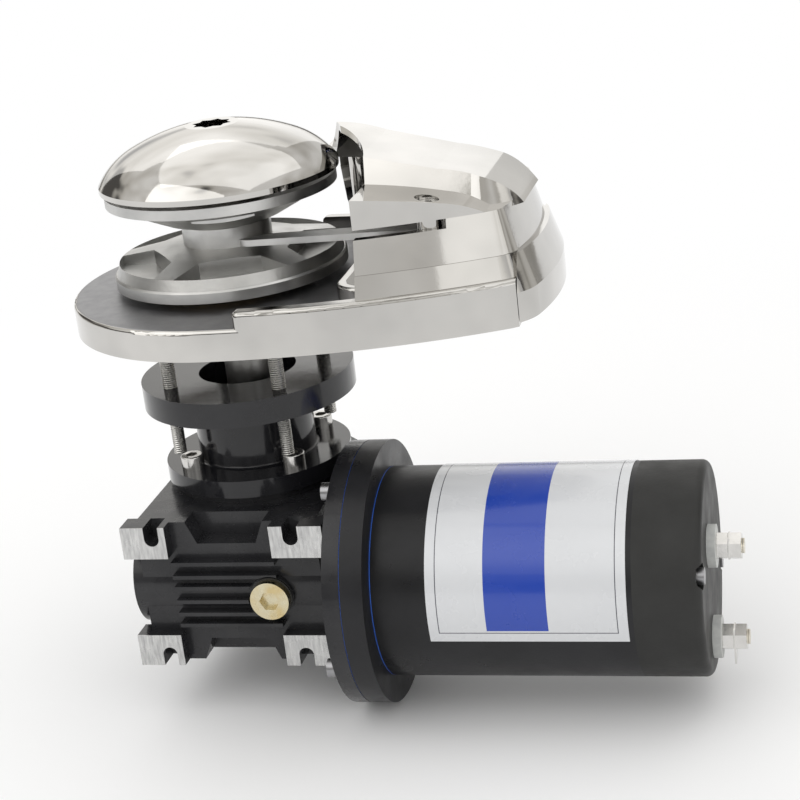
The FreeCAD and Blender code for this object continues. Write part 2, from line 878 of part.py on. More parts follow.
def build_chainwheel():
    body = new_body("chainwheel")
    revolve(
        body,
        [
            ("shaft_radius+running_gap", "cone_low_top"),
            ("cone_low_small", "cone_low_top"),
            ("cone_large", "wheel_bottom"),
            ("wheel_rim_radius", "wheel_bottom"),
            ("wheel_rim_radius", "wheel_bottom+wheel_rim_height-1"),
            ("wheel_rim_radius-1", "wheel_bottom+wheel_rim_height"),
            ("rib_outer+1", "wheel_bottom+wheel_rim_height"),
            ("rib_outer-1", "rib_top"),
            ("pocket_inner", "rib_top+4"),
            ("hub_radius", "rib_top+6"),
            ("hub_radius", "hub_high"),
            ("34", "54", "-14"),
            ("upper_lip_radius", "upper_rim_low-4"),
            ("upper_rim_radius", "upper_rim_low"),
            ("upper_rim_radius", "upper_rim_high"),
            ("cone_large", "upper_rim_high"),
            ("cone_small", "cone_high_floor"),
            ("shaft_radius+running_gap", "cone_high_floor"),
        ],
    )
    # lower row of link pockets: one flat-floored pocket, repeated round the hub
    sketch = new_sketch(body, XY, "pocket_floor")
    near, far = polar("pocket_outer", "-pocket_sweep"), polar("pocket_outer", "pocket_sweep")
    outline(
        sketch,
        [
            ("pocket_inner", "-pocket_half"),
            near,
            far + ("pocket_outer",),
            ("pocket_inner", "pocket_half"),
        ],
    )
    low = pocket(body, sketch, "14")
    repeat(body, [low], "pocket_count")
    sketch = new_sketch(body, XY, "pocket_roof")
    outline(
        sketch,
        [
            ("cone_large+2", "-pocket_half"),
            ("upper_rim_radius-8", "-pocket_half"),
            ("upper_rim_radius-8", "pocket_half", "upper_rim_radius"),
            ("cone_large+2", "pocket_half"),
        ],
    )
    high = pocket(body, sketch, "12", up=False)
    repeat(body, [high], "pocket_count")
    return body


def build_cap():
    body = new_body("clutch_cap")
    bore = "shaft_radius-1.2+running_gap"
    revolve(
        body,
        [
            (bore, "upper_rim_high+1.1"),
            ("cap_boss", "upper_rim_high+1.1"),
            ("cap_boss", "cap_top-14"),
            ("cap_radius-22", "cap_top-16"),
            ("cap_radius-5", "cap_bottom+4", "-60"),
            ("cap_radius-3", "cap_bottom"),
            ("cap_radius", "cap_bottom"),
            ("cap_radius", "cap_bottom+cap_rim"),
            ("cap_shoulder", "cap_shoulder_height", "44"),
            ("cap_neck", "cap_top", "120"),
            ("0", "cap_top"),
            ("0", "shaft_top+0.6"),
            (bore, "shaft_top+0.6"),
        ],
    )
    return body


def cut_star(body):
    """The eight-point socket that the clutch lever fits."""
    for turn in ("0", "45"):
        sketch = new_sketch(body, XY, "cap_top-star_depth")
        polygon(sketch, 4, "star_radius*1.12", turn=turn)
        pocket(body, sketch, "20")


# ---------------------------------------------------------------------------
# Coupling under the deck
# ---------------------------------------------------------------------------
def ring_of(count, radius, start):
    return [polar(radius, "(%s)+%g" % (start, 360.0 / count * index)) for index in range(count)]


def build_studs():
    body = new_body("deck_studs")
    for radius, low, high in (
        ("stud_thread", "stud_bottom", "disc_top"),
        ("stud_radius", "disc_top", "0"),
        ("stud_thread", "0", "stud_grip"),
    ):
        sketch = new_sketch(body, XY, low)
        for x, y in ring_of(4, "stud_circle", "stud_turn"):
            circle(sketch, radius, x, y)
        pad(body, sketch, "(%s)-(%s)" % (high, low))


def build_bell():
    body = new_body("bell_housing")
    revolve(
        body,
        [
            ("neck_bore", "flange_bottom"),
            ("flange_radius", "flange_bottom"),
            ("flange_radius", "flange_top"),
            ("neck_radius+1.5", "flange_top"),
            ("neck_radius", "flange_top+1.5", "-1.5"),
            ("neck_radius", "disc_bottom-6"),
            ("neck_radius+6", "disc_bottom", "-6"),
            ("disc_radius", "disc_bottom"),
            ("disc_radius", "disc_top"),
            ("neck_bore", "disc_top"),
        ],
    )
    sketch = new_sketch(body, XY, "disc_bottom")
    for x, y in ring_of(4, "stud_circle", "stud_turn"):
        circle(sketch, "stud_thread+seat_gap", x, y)
    pocket(body, sketch, "20")
    sketch = new_sketch(body, XY, "flange_bottom")
    for x, y in ring_of(4, "screw_circle", "45"):
        circle(sketch, "screw_radius+fit_gap", x, y)
    pocket(body, sketch, "flange_top-flange_bottom+1")


def build_cap_screws():
    body = new_body("cap_screws")
    spots = ring_of(4, "screw_circle", "45")
    sketch = new_sketch(body, XY, "flange_bottom-screw_reach")
    for x, y in spots:
        circle(sketch, "screw_radius", x, y)
    pad(body, sketch, "flange_top-flange_bottom+screw_reach")
    sketch = new_sketch(body, XY, "flange_top")
    for x, y in spots:
        circle(sketch, "head_radius", x, y)
    pad(body, sketch, "head_height")
    dress(body, "Fillet", "0.8", at_height("flange_top+head_height"))
    for x, y in spots:
        sketch = new_sketch(body, XY, "flange_top+head_height-4")
        polygon(sketch, 6, "socket_across/sqrt(3)", x, y)
        pocket(body, sketch, "10")


# ---------------------------------------------------------------------------
# Worm gearbox
# ---------------------------------------------------------------------------
FIN_RISES = ["19", "11", "4.3", "-3.9", "-11.5", "-18.3"]


def build_housing():
    body = new_body("gearbox_housing")
    mid = "-gear_axis_drop"
    sketch = new_sketch(body, XZ, "-back_face")
    low, high = "(%s-pad_half_height)" % mid, "(%s+pad_half_height)" % mid
    outline(sketch, box_outline("-box_half+6", "box_half-6", low, high))
    pad(body, sketch, "back_face+front_face-8")
    # feet pads on the worm side
    sketch = new_sketch(body, XZ, "front_face-14")
    for left, right in (("-box_half", "-32"), ("28", "box_half")):
        outline(sketch, box_outline(left, right, "(%s+pad_low)" % mid, high))
        outline(sketch, box_outline(left, right, low, "(%s-pad_low)" % mid))
    pad(body, sketch, "14")
    # cooling fins across the front wall, cleared for the filler boss
    sketch = new_sketch(body, XZ, "front_face-8")
    for rise in FIN_RISES:
        middle = "%s+(%s)" % (mid, rise)
        outline(sketch, box_outline("-32", "28", middle + "-fin_thick/2", middle + "+fin_thick/2"))
    pad(body, sketch, "6")
    drop = "%s-plug_drop" % mid
    sketch = new_sketch(body, XZ, "front_face-8")
    circle(sketch, "plug_boss+0.8", "plug_at", drop)
    pocket(body, sketch, "20")
    sketch = new_sketch(body, XZ, "front_face-8")
    circle(sketch, "plug_boss", "plug_at", drop)
    pad(body, sketch, "4")
    # output bosses, top and bottom
    sketch = new_sketch(body, XY, "%s-output_face" % mid)
    circle(sketch, "boss_ring")
    pad(body, sketch, "2*output_face")
    # worm axis boss through the box, towards the motor
    sketch = new_sketch(body, YZ, "-box_half")
    circle(sketch, "worm_boss", "-worm_offset", mid)
    pad(body, sketch, "box_half+flange_a_at")
    # side faces cut back round the boss ring at the back corners
    for sign in ("", "-"):
        sketch = new_sketch(body, XY, "%s-output_face" % mid)
        outline(
            sketch,
            [
                (sign + "(box_half+1)", "back_face+1"),
                (sign + "30", "back_face+1"),
                (sign + "(box_half+1)", "30"),
            ],
        )
        pocket(body, sketch, "2*output_face")
    # foot slots
    sketch = new_sketch(body, XZ, "front_face-14")
    for side in ("-slot_half_span", "slot_half_span"):
        for sign in ("+", "-"):
            end = "(%s%sslot_end)" % (mid, sign)
            edge = "(%s%s60)" % (mid, sign)
            left, right = "(%s-slot_radius)" % side, "(%s+slot_radius)" % side
            if sign == "+":
                corners = [(left, end), (right, end, "slot_radius"), (right, edge), (left, edge)]
            else:
                corners = [(right, end), (left, end, "slot_radius"), (left, edge), (right, edge)]
            outline(sketch, corners)
    pocket(body, sketch, "20")
    # trapezoid windows between the feet
    sketch = new_sketch(body, XZ, "front_face-22")
    for sign in ("+", "-"):
        corners = [
            ("-window_wide", "(%s%s60)" % (mid, sign)),
            ("-window_narrow", "(%s%s29)" % (mid, sign)),
            ("window_narrow", "(%s%s29)" % (mid, sign)),
            ("window_wide", "(%s%s60)" % (mid, sign)),
        ]
        outline(sketch, corners)
    pocket(body, sketch, "30")
    # wheel chamber, bearing seats, cover seat
    sketch = new_sketch(body, XY, "%s-output_face" % mid)
    circle(sketch, "cover_seat")
    pocket(body, sketch, "output_face+chamber_half")
    sketch = new_sketch(body, XY, "%s" % mid)
    circle(sketch, "bearing_outer")
    pocket(body, sketch, "bearing_high")
    sketch = new_sketch(body, XY, "%s" % mid)
    circle(sketch, "seal_outer")
    pocket(body, sketch, "output_face+1")
    # worm tunnel
    sketch = new_sketch(body, YZ, "-box_half-1")
    circle(sketch, "worm_bearing_outer", "-worm_offset", mid)
    pocket(body, sketch, "box_half+flange_a_at+2")
    sketch = new_sketch(body, XZ, "front_face-4")
    circle(sketch, "plug_radius", "plug_at", drop)
    pocket(body, sketch, "20", up=False)
    # screw holes in the upper output face
    sketch = new_sketch(body, XY, "%s+output_face" % mid)
    for x, y in ring_of(4, "screw_circle", "45"):
        circle(sketch, "screw_radius", x, y)
    pocket(body, sketch, "screw_reach", up=False)
    return body


def build_gearbox_cover():
    body = new_body("gearbox_cover")
    mid = "-gear_axis_drop"
    revolve(
        body,
        [
            ("seal_outer", "%s-output_face" % mid),
            ("cover_seat-seat_gap", "%s-output_face" % mid),
            ("cover_seat-seat_gap", "%s-chamber_half-9" % mid),
            ("bearing_outer+5", "%s-chamber_half-9" % mid),
            ("bearing_outer+5", "%s-chamber_half" % mid),
            ("bearing_outer", "%s-chamber_half" % mid),
            ("bearing_outer", "%s-bearing_high" % mid),
            ("seal_outer", "%s-bearing_high" % mid),
        ],
    )
    screws = new_body("gearbox_cover_screws")
    sketch = new_sketch(screws, XY, "%s-output_face-4" % mid)
    for x, y in ring_of(4, "cover_seat-3", "0"):
        circle(sketch, "5", x, y)
    pad(screws, sketch, "4")


def build_wheel_set():
    mid = "-gear_axis_drop"
    hub = new_body("wheel_hub")
    revolve(
        hub,
        [
            ("shaft_radius+seat_gap", "%s-output_face+1" % mid),
            ("hub_outer", "%s-output_face+1" % mid),
            ("hub_outer", "%s-gear_width/2" % mid),
            ("rim_seat", "%s-gear_width/2" % mid),
            ("rim_seat", "%s+gear_width/2" % mid),
            ("hub_outer", "%s+gear_width/2" % mid),
            ("hub_outer", "%s+output_face-1" % mid),
            ("shaft_radius+seat_gap", "%s+output_face-1" % mid),
        ],
    )
    cut_keyway(hub, "%s-output_face" % mid, "%s+output_face" % mid)
    wheel = new_body("worm_wheel")
    ring(
        wheel,
        "wheel_pitch_radius+gear_module",
        "rim_seat",
        "%s-gear_width/2" % mid,
        "%s+gear_width/2" % mid,
    )
    foot, reach = "(wheel_pitch_radius-slot_depth)", "(wheel_pitch_radius+4.5)"
    half = "(slot_width/2+(%s-wheel_pitch_radius)*tan(20))"
    sketch = new_sketch(wheel, XY, mid)
    outline(
        sketch,
        [
            ("-" + half % reach, "-" + reach),
            (half % reach, "-" + reach),
            (half % foot, "-" + foot),
            ("-" + half % foot, "-" + foot),
        ],
    )
    slot = pocket(wheel, sketch, "80", Midplane=True)
    slot.UseCustomVector = True
    slot.Direction = Vector(0, 0, 1)
    slot.setExpression("Direction.x", link("worm_pitch/(2*3.14159265*worm_pitch_radius)"))
    repeat(wheel, [slot], "gear_teeth")
    for name, inner, outer, low, high in (
        (
            "wheel_bearings",
            "hub_outer+running_gap",
            "bearing_outer-seat_gap",
            "chamber_half",
            "bearing_high",
        ),
        (
            "output_seals",
            "hub_outer+running_gap",
            "seal_outer-seat_gap",
            "bearing_high",
            "output_face-0.5",
        ),
    ):
        body = new_body(name)
        for sign in ("+", "-"):
            near, far = "%s%s%s" % (mid, sign, low), "%s%s(%s)" % (mid, sign, high)
            ends = (near, far) if sign == "+" else (far, near)
            ring(body, outer, inner, *ends)


def cut_thread(body):
    """The single-start right-handed worm thread, begun on the wheel's side."""
    start, root, tip = "(-3*worm_pitch)", "(worm_root-0.5)", "(worm_pitch_radius+gear_module)"
    half = "(thread_thick/2-(%s-worm_pitch_radius)*tan(20))"
    sketch = new_sketch(body, YZ)
    outline(
        sketch,
        [
            (root, "%s-%s" % (start, half % root)),
            (tip, "%s-%s" % (start, half % tip)),
            (tip, "%s+%s" % (start, half % tip)),
            (root, "%s+%s" % (start, half % root)),
        ],
    )
    helix = turned(body, "AdditiveHelix", sketch)
    helix.setExpression("Pitch", link("worm_pitch"))
    helix.setExpression("Height", link("6*worm_pitch"))


def build_worm():
    body = new_body("worm_shaft")
    revolve(
        body,
        [
            ("0", "-worm_end"),
            ("worm_journal", "-worm_end"),
            ("worm_journal", "-worm_half"),
            ("worm_root", "-worm_half"),
            ("worm_root", "worm_half"),
            ("worm_journal", "worm_half"),
            ("worm_journal", "flange_b_at-2"),
            ("0", "flange_b_at-2"),
        ],
    )
    cut_thread(body)
    lay_along_motor(body)
    bearings = new_body("worm_bearings")
    for low, high in (("worm_half+3", "worm_half+15"), ("-worm_half-15", "-worm_half-3")):
        ring(bearings, "worm_bearing_outer-seat_gap", "worm_journal+running_gap", low, high)
    lay_along_motor(bearings)
    end = new_body("worm_end_cap")
    ring(end, "worm_bearing_outer-seat_gap", None, "-box_half", "-box_half+3")
    lay_along_motor(end)


def build_plug():
    drop = "-gear_axis_drop-plug_drop"
    washer = new_body("plug_washer")
    sketch = new_sketch(washer, XZ, "front_face-4")
    circle(sketch, "plug_boss-0.5", "plug_at", drop)
    circle(sketch, "plug_radius", "plug_at", drop)
    pad(washer, sketch, "1")
    body = new_body("filler_plug")
    sketch = new_sketch(body, XZ, "front_face-14")
    circle(sketch, "plug_radius-seat_gap", "plug_at", drop)
    pad(body, sketch, "11")
    sketch = new_sketch(body, XZ, "front_face-3")
    circle(sketch, "11", "plug_at", drop)
    pad(body, sketch, "4.5")
    sketch = new_sketch(body, XZ, "front_face-2")
    polygon(sketch, 6, "5.8", "plug_at", drop)
    pocket(body, sketch, "10")


# ---------------------------------------------------------------------------
# Motor: built round Z from X = 0, then laid on the worm axis
# ---------------------------------------------------------------------------
def motor_ring(name, outer, inner, low, high):
    body = new_body(name)
    ring(body, outer, inner, low, high)
    lay_along_motor(body)
    return body


def motor_spot(radius, turn):
    """A spot round the motor axis; turn is measured from -Y towards +Z."""
    return polar(radius, "270-(%s)" % turn)


THROUGH_TURNS = ["20", "200"]
TERMINALS = [("-terminal_up", "-terminal_side"), ("terminal_down", "-terminal_side")]


def drill(body, low, radius):
    """Holes for the two through bolts, from a height towards the motor's end."""
    sketch = new_sketch(body, XY, low)
    for turn in THROUGH_TURNS:
        circle(sketch, radius, *motor_spot("through_circle", turn))
    pocket(body, sketch, "30")


def build_motor():
    motor_ring("input_flange", "input_radius", "worm_bearing_outer", "flange_a_at", "flange_b_at-0.4")
    motor_ring("flange_sealant", "input_radius-0.5", "input_radius-14", "flange_b_at-0.4", "flange_b_at")
    flange = motor_ring(
        "motor_flange", "input_radius", "motor_bearing_outer", "flange_b_at", "motor_face-0.4"
    )
    drill(flange, "motor_face-8", "through_radius+seat_gap")
    motor_ring("motor_sealant", "motor_radius", "motor_radius-motor_wall", "motor_face-0.4", "motor_face")
    bolts = new_body("flange_bolts")
    for x, y in [motor_spot("input_radius-6", turn) for turn in ("64", "154", "244", "334")]:
        sketch = new_sketch(bolts, XY, "flange_a_at-5")
        circle(sketch, "5", x, y)
        pad(bolts, sketch, "5")
    lay_along_motor(bolts)
    motor_ring("motor_tube", "motor_radius", "motor_radius-motor_wall", "motor_face", "cap_joint")
    magnets = new_body("motor_magnets")
    for start in ("95", "275"):
        sketch = new_sketch(magnets, XY, "motor_face+20")
        inner, outer = "armature_core+1.2", "(motor_radius-motor_wall-3*seat_gap)"
        corners = [polar(inner, "%s+130" % start), polar(inner, start)]
        outline(
            sketch,
            [
                corners[1] + ("-(%s)" % inner,),
                polar(outer, start),
                polar(outer, "%s+130" % start) + (outer,),
                corners[0],
            ],
        )
        pad(magnets, sketch, "cap_joint-motor_face-40")
    lay_along_motor(magnets)
    motor_ring("armature_shaft", "armature_radius", None, "flange_b_at-2+1", "motor_end-8")
    motor_ring("armature_core", "armature_core", "armature_radius", "motor_face+25", "motor_face+105")
    windings = motor_ring(
        "armature_windings", "armature_core-6", "armature_radius+4", "motor_face+13", "motor_face+25"
    )
    ring(windings, "armature_core-6", "armature_radius+4", "motor_face+105", "motor_face+116")
    motor_ring("commutator", "18", "armature_radius", "motor_face+118", "motor_face+136")
    bearings = motor_ring(
        "motor_bearings",
        "motor_bearing_outer",
        "armature_radius+running_gap",
        "motor_face-10",
        "motor_face-1",
    )
    ring(
        bearings,
        "motor_bearing_outer",
        "armature_radius+running_gap",
        "motor_end-18",
        "motor_end-8",
    )
    holder = motor_ring(
        "brush_holder", "motor_radius-motor_wall-0.5", "30", "motor_face+120", "motor_face+134"
    )
    drill(holder, "motor_face+120", "through_radius+fit_gap")
    brushes = new_body("brushes")
    sketch = new_sketch(brushes, XY, "motor_face+122")
    outline(sketch, box_outline("18.2", "29.4", "-5", "5"))
    outline(sketch, box_outline("-29.4", "-18.2", "-5", "5"))
    pad(brushes, sketch, "10")
    lay_along_motor(brushes)
    cap = new_body("motor_end_cap")
    revolve(
        cap,
        [
            ("armature_radius+2", "motor_end-4"),
            ("motor_bearing_outer", "motor_end-4"),
            ("motor_bearing_outer", "motor_end-18"),
            ("motor_bearing_outer+5", "motor_end-18"),
            ("motor_bearing_outer+5", "motor_end-6"),
            ("motor_radius-5", "motor_end-6"),
            ("motor_radius-5", "cap_joint"),
            ("motor_radius", "cap_joint"),
            ("motor_radius", "motor_end-4"),
            ("motor_radius-4", "motor_end", "4"),
            ("0", "motor_end"),
            ("0", "motor_end-4"),
        ],
    )
    sketch = new_sketch(cap, XY, "motor_end-5")
    for x, y in TERMINALS:
        circle(sketch, "terminal_radius+seat_gap", x, y)
    pocket(cap, sketch, "10")
    drill(cap, "motor_end-6", "through_radius+fit_gap")
    sketch = new_sketch(cap, XY, "motor_end-3")
    for turn in THROUGH_TURNS:
        circle(sketch, "7", *motor_spot("motor_radius-6", turn))
    pocket(cap, sketch, "10")
    lay_along_motor(cap)
    bolts = new_body("through_bolts")
    for radius, low, high in (
        ("through_radius", "motor_face-8", "motor_end-3"),
        ("4.5", "motor_end-3", "motor_end+1"),
    ):
        sketch = new_sketch(bolts, XY, low)
        for turn in THROUGH_TURNS:
            circle(sketch, radius, *motor_spot("through_circle", turn))
        pad(bolts, sketch, "(%s)-(%s)" % (high, low))
    lay_along_motor(bolts)
    label = new_body("motor_label")
    sketch = new_sketch(label, XY, "label_start")
    inner = "motor_radius+3*seat_gap"
    outer = "motor_radius+3*seat_gap+label_thick"
    low, high = "270-label_low", "270-label_high"
    outline(
        sketch,
        [
            polar(inner, high),
            polar(outer, high),
            polar(outer, "(%s+%s)/2" % (low, high)) + (outer,),
            polar(outer, low) + (outer,),
            polar(inner, low),
            polar(inner, "(%s+%s)/2" % (low, high)) + ("-(%s)" % inner,),
            polar(inner, high) + ("-(%s)" % inner,),
        ][1:],
    )
    pad(label, sketch, "label_end-label_start")
    lay_along_motor(label)


def build_terminals():
    studs = new_body("terminal_studs")
    washers = new_body("terminal_insulators")
    nuts = new_body("terminal_nuts")
    for x, y in TERMINALS:
        sketch = new_sketch(studs, XY, "motor_end-4")
        circle(sketch, "terminal_radius", x, y)
        pad(studs, sketch, "23")
        sketch = new_sketch(washers, XY, "motor_end")
        circle(sketch, "11.5", x, y)
        circle(sketch, "terminal_radius", x, y)
        pad(washers, sketch, "4.5")
        for start in ("motor_end+4.5", "motor_end+11.5"):
            sketch = new_sketch(nuts, XY, start)
            polygon(sketch, 6, "7.5", x, y)
            circle(sketch, "terminal_radius", x, y)
            pad(nuts, sketch, "6")
    tab = new_body("terminal_tab")
    for (x, y), reach in zip(TERMINALS, ("6", "14")):
        sketch = new_sketch(tab, XY, "motor_end+10.5")
        outline(sketch, box_outline("%s-6" % x, "%s+%s" % (x, reach), "%s-4.5" % y, "%s+4.5" % y))
        circle(sketch, "terminal_radius", x, y)
        pad(tab, sketch, "1")
    for body in (studs, washers, nuts, tab):
        lay_along_motor(body)


build_base_plate()
build_cover()
build_cover_screws()
build_stripper()
build_bush()
build_shaft()
build_clutch()
build_chainwheel()
cut_star(build_cap())
build_studs()
build_bell()
build_cap_screws()
build_housing()
build_gearbox_cover()
build_wheel_set()
build_worm()
build_plug()
build_motor()
build_terminals()
doc.recompute()

NODES = [
    "base_plate",
    "cover_body",
    "cover_lid",
    "cover_screws",
    "chain_stripper",
    "stripper_screw",
    "shaft_bush",
    "shaft_seal",
    "main_shaft",
    "shaft_keys",
    "lower_clutch_cone",
    "upper_clutch_cone",
    "chainwheel",
    "clutch_cap",
    "deck_studs",
    "bell_housing",
    "cap_screws",
    "gearbox_housing",
    "gearbox_cover",
    "gearbox_cover_screws",
    "wheel_hub",
    "worm_wheel",
    "wheel_bearings",
    "output_seals",
    "worm_shaft",
    "worm_bearings",
    "worm_end_cap",
    "filler_plug",
    "plug_washer",
    "input_flange",
    "flange_sealant",
    "motor_flange",
    "motor_sealant",
    "flange_bolts",
    "motor_tube",
    "motor_magnets",
    "armature_shaft",
    "armature_core",
    "armature_windings",
    "commutator",
    "motor_bearings",
    "brush_holder",
    "brushes",
    "motor_end_cap",
    "through_bolts",
    "motor_label",
    "terminal_studs",
    "terminal_insulators",
    "terminal_nuts",
    "terminal_tab",
]

for item in doc.Objects:
    if "Invalid" in item.State or "Error" in item.State:
        raise RuntimeError("%s could not be built: %s" % (item.Label, item.getStatusString()))

os.makedirs("parts", exist_ok=True)
for name in NODES:
    shape = doc.getObject(name).Shape
    if not shape.isValid() or not shape.Solids:
        raise RuntimeError("%s has no valid solid" % name)
    shape.exportStep("parts/%s.step" % name)
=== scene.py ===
import json
import math

import bpy
from mathutils import Matrix, Vector


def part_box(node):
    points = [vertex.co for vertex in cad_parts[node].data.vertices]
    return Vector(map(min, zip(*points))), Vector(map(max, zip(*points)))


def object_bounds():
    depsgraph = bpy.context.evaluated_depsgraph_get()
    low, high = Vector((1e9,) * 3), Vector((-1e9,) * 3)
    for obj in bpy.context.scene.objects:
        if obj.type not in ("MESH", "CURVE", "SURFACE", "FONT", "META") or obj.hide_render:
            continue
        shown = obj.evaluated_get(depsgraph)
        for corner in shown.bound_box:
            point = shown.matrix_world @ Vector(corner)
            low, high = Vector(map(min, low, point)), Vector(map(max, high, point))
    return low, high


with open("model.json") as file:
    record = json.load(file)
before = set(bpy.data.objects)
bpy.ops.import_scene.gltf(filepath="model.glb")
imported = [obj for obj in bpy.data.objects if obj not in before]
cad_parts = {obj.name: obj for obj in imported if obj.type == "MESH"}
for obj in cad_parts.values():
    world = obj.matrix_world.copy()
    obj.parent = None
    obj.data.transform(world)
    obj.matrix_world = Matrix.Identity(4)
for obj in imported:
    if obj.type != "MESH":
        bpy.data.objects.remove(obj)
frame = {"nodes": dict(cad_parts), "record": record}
cad_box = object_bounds()
nodes = frame["nodes"]

# ---------------------------------------------------------------------------
# Camera: on the near right side, a little above the deck plane
# ---------------------------------------------------------------------------
YAW = math.radians(15.3)
PITCH = math.radians(19.4)
ROLL = math.radians(-6.9)
DISTANCE = 1.179
LENS = 90.0
SENSOR_WIDTH = 36.0
NEAR_CLIP = 0.05

# Where the spindle passes the worm wheel, and how far to the right of the
# picture's centre and above it that point appears, in metres at its distance.
DRIVE_CENTRE = Vector((0.0, 0.0, -0.142))
SIDEWAYS = -0.0754
UPWARDS = -0.0794


def add_camera():
    level_right = Vector((math.cos(YAW), math.sin(YAW), 0.0))
    level_ahead = Vector((-math.sin(YAW), math.cos(YAW), 0.0))
    ahead = level_ahead * math.cos(PITCH) - Vector((0, 0, math.sin(PITCH)))
    level_up = level_ahead * math.sin(PITCH) + Vector((0, 0, math.cos(PITCH)))
    right = level_right * math.cos(ROLL) + level_up * math.sin(ROLL)
    up = level_up * math.cos(ROLL) - level_right * math.sin(ROLL)
    camera = bpy.data.objects.new("camera", bpy.data.cameras.new("camera"))
    bpy.context.scene.collection.objects.link(camera)
    place = DRIVE_CENTRE - right * SIDEWAYS - up * UPWARDS - ahead * DISTANCE
    turn = Matrix((right, up, -ahead)).transposed()
    camera.matrix_world = Matrix.Translation(place) @ turn.to_4x4()
    camera.data.lens = LENS
    camera.data.sensor_width = SENSOR_WIDTH
    camera.data.clip_start = NEAR_CLIP
    bpy.context.scene.camera = camera


# ---------------------------------------------------------------------------
# Shader building blocks
# ---------------------------------------------------------------------------
NOISE_ROUGHNESS = 0.55
COAT_ROUGHNESS = 0.08
SMOOTHEST = 0.01


def new_node(tree, kind, values=None, **settings):
    """Add a shader node with its settings, and give its inputs their values."""
    node = tree.nodes.new(kind)
    for key, value in settings.items():
        setattr(node, key, value)
    for key, value in (values or {}).items():
        node.inputs[key].default_value = value
    return node


def choose_shader(tree, factor, off, on):
    """One shader where the factor is 0, and another where it is 1."""
    node = new_node(tree, "ShaderNodeMixShader")
    tree.links.new(factor, node.inputs["Fac"])
    tree.links.new(off, node.inputs[1])
    tree.links.new(on, node.inputs[2])
    return node.outputs["Shader"]


